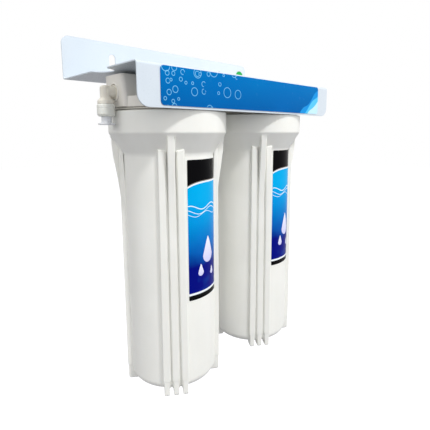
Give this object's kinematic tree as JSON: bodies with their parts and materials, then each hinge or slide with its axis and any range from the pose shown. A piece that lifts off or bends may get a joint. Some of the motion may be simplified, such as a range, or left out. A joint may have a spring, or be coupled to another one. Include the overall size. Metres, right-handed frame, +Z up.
{
  "type": "water purifier",
  "caption": "Under-sink water purifier: ribbed filter housings side by side under a bent wall bracket, with screw-off sumps, cartridges inside and push-in tube elbows.",
  "frame": {"origin": "middle of the bracket's back plate, on the face that lies against the wall", "axes": "+X along the bracket towards the outlet housing, +Y into the wall, +Z up"},
  "size_m": [0.2788, 0.1408, 0.359],
  "materials": {
    "coated_steel": "bluish white powder coat, satin",
    "blue_print": "printed film label",
    "green_print": "printed round sticker",
    "white_plastic": "warm white moulded polypropylene, satin",
    "ivory_plastic": "ivory moulded acetal, satin",
    "cool_plastic": "bluish white moulded plastic",
    "zinc": "zinc plated steel",
    "black_rubber": "black seal rubber",
    "white_fibre": "melt blown filter fibre",
    "carbon": "pressed carbon block"
  },
  "bodies": {
    "bracket_assembly": {"bracket": "coated_steel", "fascia_label": "blue_print", "inspection_sticker": "green_print", "inlet_cap": "white_plastic", "inlet_cap_seal": "black_rubber", "inlet_cap_screw_1": "zinc", "inlet_cap_screw_2": "zinc", "inlet_cap_screw_3": "zinc", "inlet_cap_screw_4": "zinc", "inlet_elbow": "ivory_plastic", "inlet_elbow_nut": "ivory_plastic", "inlet_tube_seal": "black_rubber", "outlet_cap": "white_plastic", "outlet_cap_seal": "black_rubber", "outlet_cap_screw_1": "zinc", "outlet_cap_screw_2": "zinc", "outlet_cap_screw_3": "zinc", "outlet_cap_screw_4": "zinc", "outlet_elbow": "ivory_plastic", "outlet_elbow_nut": "ivory_plastic", "outlet_tube_seal": "black_rubber", "joining_nipple": "ivory_plastic"},
    "sediment_stage": {"sediment_cartridge": "white_fibre"},
    "inlet_sump_body": {"inlet_sump": "white_plastic", "inlet_sump_label": "blue_print"},
    "carbon_stage": {"carbon_block": "carbon", "carbon_end_cap_top": "white_plastic", "carbon_end_cap_bottom": "white_plastic", "carbon_gasket_top": "black_rubber", "carbon_gasket_bottom": "black_rubber"},
    "outlet_sump_body": {"outlet_sump": "white_plastic", "outlet_sump_label": "blue_print"},
    "inlet_collet_body": {"inlet_collet": "cool_plastic"},
    "outlet_collet_body": {"outlet_collet": "cool_plastic"}
  },
  "joints": [
    {"name": "inlet_sump_drop", "type": "slide", "parent": "bracket_assembly", "child": "sediment_stage", "axis": [0, 0, -1], "range_m": [0, 0.015]},
    {"name": "inlet_sump_unscrew", "type": "hinge", "parent": "sediment_stage", "child": "inlet_sump_body", "pos_m": [-0.0638, -0.0792, -0.056], "axis": [0, 0, -1], "range_deg": [0, 1080]},
    {"name": "outlet_sump_drop", "type": "slide", "parent": "bracket_assembly", "child": "carbon_stage", "axis": [0, 0, -1], "range_m": [0, 0.015]},
    {"name": "outlet_sump_unscrew", "type": "hinge", "parent": "carbon_stage", "child": "outlet_sump_body", "pos_m": [0.0638, -0.0792, -0.056], "axis": [0, 0, -1], "range_deg": [0, 1080]},
    {"name": "inlet_collet_push", "type": "slide", "parent": "bracket_assembly", "child": "inlet_collet_body", "axis": [0, 0, 1], "range_m": [0, 0.002]},
    {"name": "outlet_collet_push", "type": "slide", "parent": "bracket_assembly", "child": "outlet_collet_body", "axis": [0, 0, 1], "range_m": [0, 0.002]}
  ],
  "couplings": [
    {"joint": "inlet_sump_drop", "follows": "inlet_sump_unscrew", "m_per_rad": 0.000795},
    {"joint": "outlet_sump_drop", "follows": "outlet_sump_unscrew", "m_per_rad": 0.000795}
  ]
}
